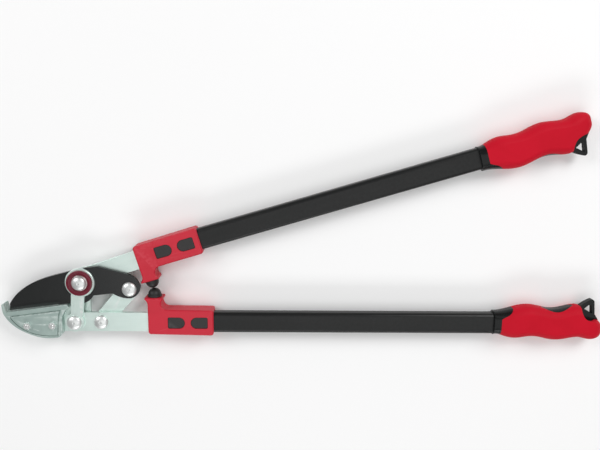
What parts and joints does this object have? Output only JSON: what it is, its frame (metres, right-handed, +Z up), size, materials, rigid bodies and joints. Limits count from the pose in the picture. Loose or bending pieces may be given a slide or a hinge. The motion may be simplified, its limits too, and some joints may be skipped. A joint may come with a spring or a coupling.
{
  "type": "anvil lopper",
  "caption": "Two-handled compound anvil lopper with a driven blade closing on a hooked anvil, oval tubes and soft moulded grips.",
  "frame": {"origin": "on the resting surface, under the centre of the bounding box of the closed tool", "axes": "+X along the lower handle towards its grip, +Y towards the upper handle, +Z up from the surface the tool lies on"},
  "size_m": [0.7641, 0.2899, 0.0302],
  "materials": {
    "plate_steel": "satin nickel-plated steel plate",
    "anvil_cast": "satin die casting",
    "blade_coated": "low-friction black coating on steel",
    "bush_bronze": "plain bearing bush",
    "ring_plastic": "dark red moulded plastic",
    "washer_steel": "polished washer",
    "bolt_chrome": "bright plated steel",
    "zinc_steel": "zinc-plated steel",
    "socket_plastic": "crimson moulded plastic",
    "plug_plastic": "dark grey moulded plastic",
    "tube_black": "black powder coat on aluminium tube",
    "packer_plastic": "hard plastic strip",
    "bumper_rubber": "black rubber",
    "core_plastic": "black textured plastic",
    "sleeve_soft": "crimson soft-touch elastomer"
  },
  "bodies": {
    "frame": {"anvil_arm": "plate_steel", "anvil": "anvil_cast", "anvil_screws": "zinc_steel", "anvil_nuts": "zinc_steel", "brace_plate": "plate_steel", "main_pivot_bolt": "bolt_chrome", "main_pivot_washer": "zinc_steel", "main_pivot_nut": "zinc_steel", "main_pivot_front_washer": "washer_steel", "main_pivot_ring": "ring_plastic", "arm_pivot_bolt": "bolt_chrome", "arm_pivot_washer": "zinc_steel", "arm_pivot_nut": "zinc_steel", "upper_socket": "socket_plastic", "upper_socket_plugs": "plug_plastic", "upper_tube": "tube_black", "upper_tang_packers": "packer_plastic", "upper_tang_rivets": "zinc_steel", "upper_bumper": "bumper_rubber", "upper_grip_core": "core_plastic", "upper_grip_sleeve": "sleeve_soft"},
    "lower_handle": {"lower_arm": "plate_steel", "link_pivot_bolt": "bolt_chrome", "link_pivot_washer": "zinc_steel", "link_pivot_nut": "zinc_steel", "lower_socket": "socket_plastic", "lower_socket_plugs": "plug_plastic", "lower_tube": "tube_black", "lower_tang_packers": "packer_plastic", "lower_tang_rivets": "zinc_steel", "lower_bumper": "bumper_rubber", "lower_grip_core": "core_plastic", "lower_grip_sleeve": "sleeve_soft"},
    "blade": {"blade": "blade_coated", "main_pivot_bush": "bush_bronze", "tail_pivot_bolt": "bolt_chrome", "tail_pivot_washer": "zinc_steel", "tail_pivot_nut": "zinc_steel"},
    "drive_link": {"drive_link": "plate_steel"}
  },
  "joints": [
    {"name": "lower_handle_pivot", "type": "hinge", "parent": "frame", "child": "lower_handle", "pos_m": [-0.2924, -0.1237, 0.015], "axis": [0, 0, -1], "range_deg": [0, 70]},
    {"name": "blade_pivot", "type": "hinge", "parent": "frame", "child": "blade", "pos_m": [-0.2836, -0.0717, 0.015], "axis": [0, 0, -1], "range_deg": [0, 37]},
    {"name": "drive_link_pivot", "type": "hinge", "parent": "lower_handle", "child": "drive_link", "pos_m": [-0.2598, -0.1237, 0.015], "axis": [0, 0, 1], "range_deg": [0, 65.9]}
  ],
  "couplings": [
    {"joint": "blade_pivot", "follows": "lower_handle_pivot", "ratio": 0.529},
    {"joint": "drive_link_pivot", "follows": "lower_handle_pivot", "ratio": 0.942}
  ]
}
